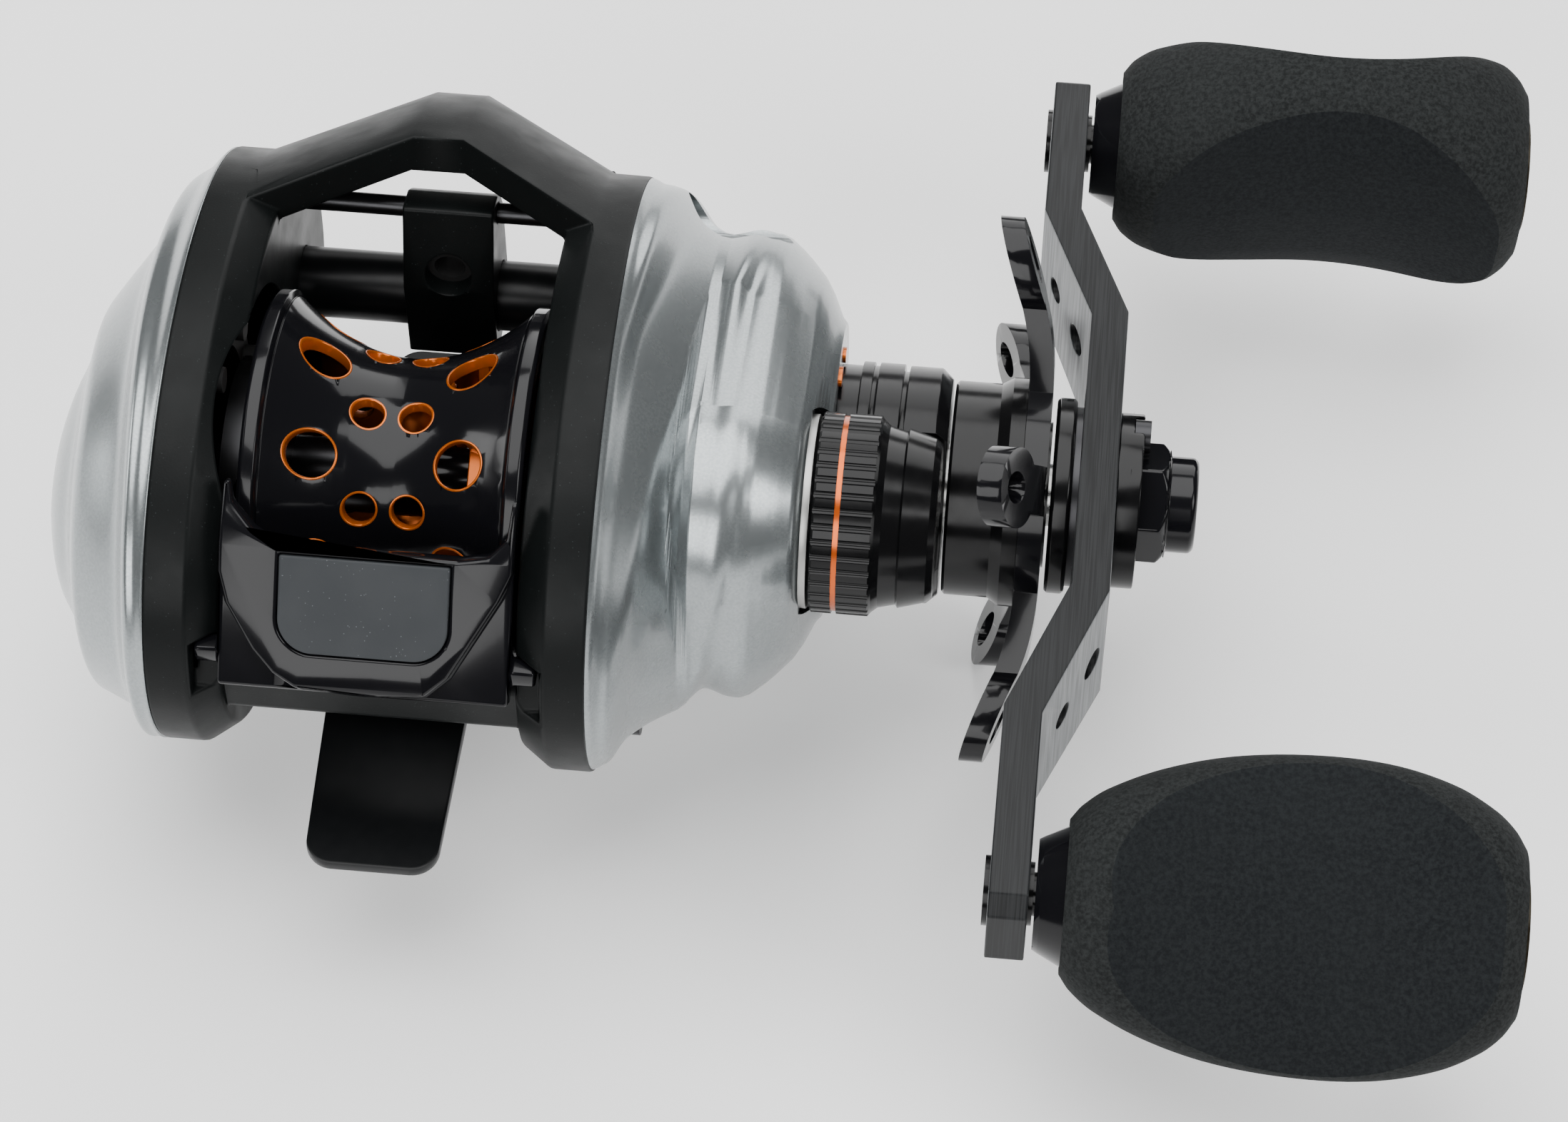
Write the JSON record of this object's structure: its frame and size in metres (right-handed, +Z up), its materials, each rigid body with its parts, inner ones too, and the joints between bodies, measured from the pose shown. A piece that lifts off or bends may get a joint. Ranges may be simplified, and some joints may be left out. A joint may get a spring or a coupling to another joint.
{
  "type": "baitcasting reel",
  "caption": "Low-profile baitcasting fishing reel: open spool between side plates, level-wind line guide, thumb bar, star drag and cranked handle with foam knobs, on a rod-seat foot.",
  "frame": {"origin": "middle of the flat underside of the reel foot, where it sits on the rod's reel seat", "axes": "+X along the spool axis towards the handle, +Y forward, the way the line leaves, +Z up, away from the rod"},
  "size_m": [0.1384, 0.1141, 0.0565],
  "materials": {
    "frame_black": "matte dark grey-green paint with fine specks",
    "foot_black": "satin black",
    "side_silver": "satin silver metallic",
    "gloss_black": "gloss black",
    "satin_black": "satin black anodised",
    "grey_steel": "turned steel",
    "bright_steel": "bright steel",
    "dark_steel": "blackened steel",
    "brass": "machined brass",
    "orange": "orange anodised",
    "amber": "amber",
    "carbon": "woven carbon friction disc",
    "arm_grey": "brushed dark grey anodised",
    "eva_grip": "closed-cell foam, fine grain",
    "pad_grey": "speckled grey rubberised pad",
    "cap_bronze": "dark bronze anodised",
    "eye_metal": "polished",
    "magnet": "moulded ring with set magnets",
    "shaft_steel": "ground steel",
    "cap_black": "satin black anodised"
  },
  "bodies": {
    "frame": {"frame": "frame_black", "reel_foot": "foot_black", "foot_screws": "dark_steel", "palm_side_plate": "side_silver", "brake_housing": "satin_black", "brake_magnets": "magnet", "palm_spool_bearing": "bright_steel", "handle_side_plate": "side_silver", "side_plate_screws": "dark_steel", "bearing_cap": "cap_black", "spool_bearing": "bright_steel", "shaft_tip_bearing": "bright_steel", "drive_shaft_bearing": "bright_steel", "one_way_bearing": "grey_steel", "cast_control_seat": "grey_steel", "accent_inserts": "amber", "yoke_posts": "shaft_steel", "yoke_springs": "bright_steel", "worm_tube": "foot_black", "worm_bushes": "brass", "guide_rod": "bright_steel"},
    "spool": {"spool": "gloss_black", "spool_shaft": "shaft_steel", "spool_pin": "shaft_steel", "brake_rotor": "bright_steel"},
    "handle": {"drive_shaft": "shaft_steel", "level_wind_drive_gear": "gloss_black", "main_gear": "brass", "drag_washers": "carbon", "pressure_plate": "grey_steel", "anti_reverse_sleeve": "shaft_steel", "drag_springs": "bright_steel", "arm_spacer": "satin_black", "arm_washer": "bright_steel", "handle_arm": "arm_grey", "knob_spindles": "shaft_steel", "nut_retainer": "satin_black", "retainer_screw": "dark_steel", "handle_nut": "gloss_black"},
    "star": {"star_nut": "satin_black", "drag_star": "gloss_black"},
    "front_knob": {"front_knob_grip": "eva_grip", "front_knob_collar": "gloss_black", "front_knob_cap": "cap_bronze"},
    "rear_knob": {"rear_knob_grip": "eva_grip", "rear_knob_collar": "gloss_black", "rear_knob_cap": "cap_bronze"},
    "yoke": {"clutch_yoke": "gloss_black"},
    "pinion": {"pinion": "brass"},
    "worm": {"worm_shaft": "shaft_steel", "worm_wheel": "gloss_black"},
    "guide": {"line_guide": "gloss_black", "line_eye": "eye_metal", "guide_pawl": "shaft_steel"},
    "thumb": {"thumb_bar": "gloss_black", "thumb_pad": "pad_grey"},
    "cast_control": {"cast_control_knob": "satin_black", "cast_control_ring": "orange"},
    "brake_control": {"brake_dial": "satin_black"}
  },
  "joints": [
    {"name": "handle_turn", "type": "hinge", "parent": "frame", "child": "handle", "pos_m": [0.064, 0.0119, 0.01005], "axis": [1, 0, 0], "continuous": true},
    {"name": "spool_spin", "type": "hinge", "parent": "frame", "child": "spool", "pos_m": [0, 0, 0.0205], "axis": [1, 0, 0], "continuous": true},
    {"name": "clutch_slide", "type": "slide", "parent": "frame", "child": "yoke", "axis": [1, 0, 0], "range_m": [0, 0.0018]},
    {"name": "pinion_spin", "type": "hinge", "parent": "yoke", "child": "pinion", "pos_m": [0.024, 0, 0.0205], "axis": [1, 0, 0], "continuous": true},
    {"name": "worm_spin", "type": "hinge", "parent": "frame", "child": "worm", "pos_m": [0, 0.025, 0.01785], "axis": [1, 0, 0], "continuous": true},
    {"name": "guide_slide", "type": "slide", "parent": "frame", "child": "guide", "axis": [1, 0, 0], "range_m": [-0.01, 0.007]},
    {"name": "thumb_press", "type": "slide", "parent": "frame", "child": "thumb", "axis": [0, -0.6, -0.8], "range_m": [0, 0.004], "stiffness_N_per_m": 400, "springref_m": -0.004},
    {"name": "star_turn", "type": "hinge", "parent": "handle", "child": "star", "pos_m": [0.058, 0.0119, 0.01005], "axis": [1, 0, 0], "range_deg": [-360, 360]},
    {"name": "front_knob_spin", "type": "hinge", "parent": "handle", "child": "front_knob", "pos_m": [0.08, 0.0569, 0.01005], "axis": [1, 0, 0], "continuous": true},
    {"name": "rear_knob_spin", "type": "hinge", "parent": "handle", "child": "rear_knob", "pos_m": [0.08, -0.0331, 0.01005], "axis": [1, 0, 0], "continuous": true},
    {"name": "cast_control_turn", "type": "hinge", "parent": "frame", "child": "cast_control", "pos_m": [0.044, 0, 0.0205], "axis": [1, 0, 0], "range_deg": [-360, 360]},
    {"name": "brake_turn", "type": "hinge", "parent": "frame", "child": "brake_control", "pos_m": [-0.033, 0.00238, 0.01371], "axis": [-1, 0, 0], "range_deg": [0, 270]}
  ],
  "couplings": [
    {"joint": "spool_spin", "follows": "handle_turn", "ratio": -5},
    {"joint": "pinion_spin", "follows": "handle_turn", "ratio": -5},
    {"joint": "worm_spin", "follows": "handle_turn", "ratio": -1.3462},
    {"joint": "clutch_slide", "follows": "thumb_press", "ratio": 0.45}
  ]
}
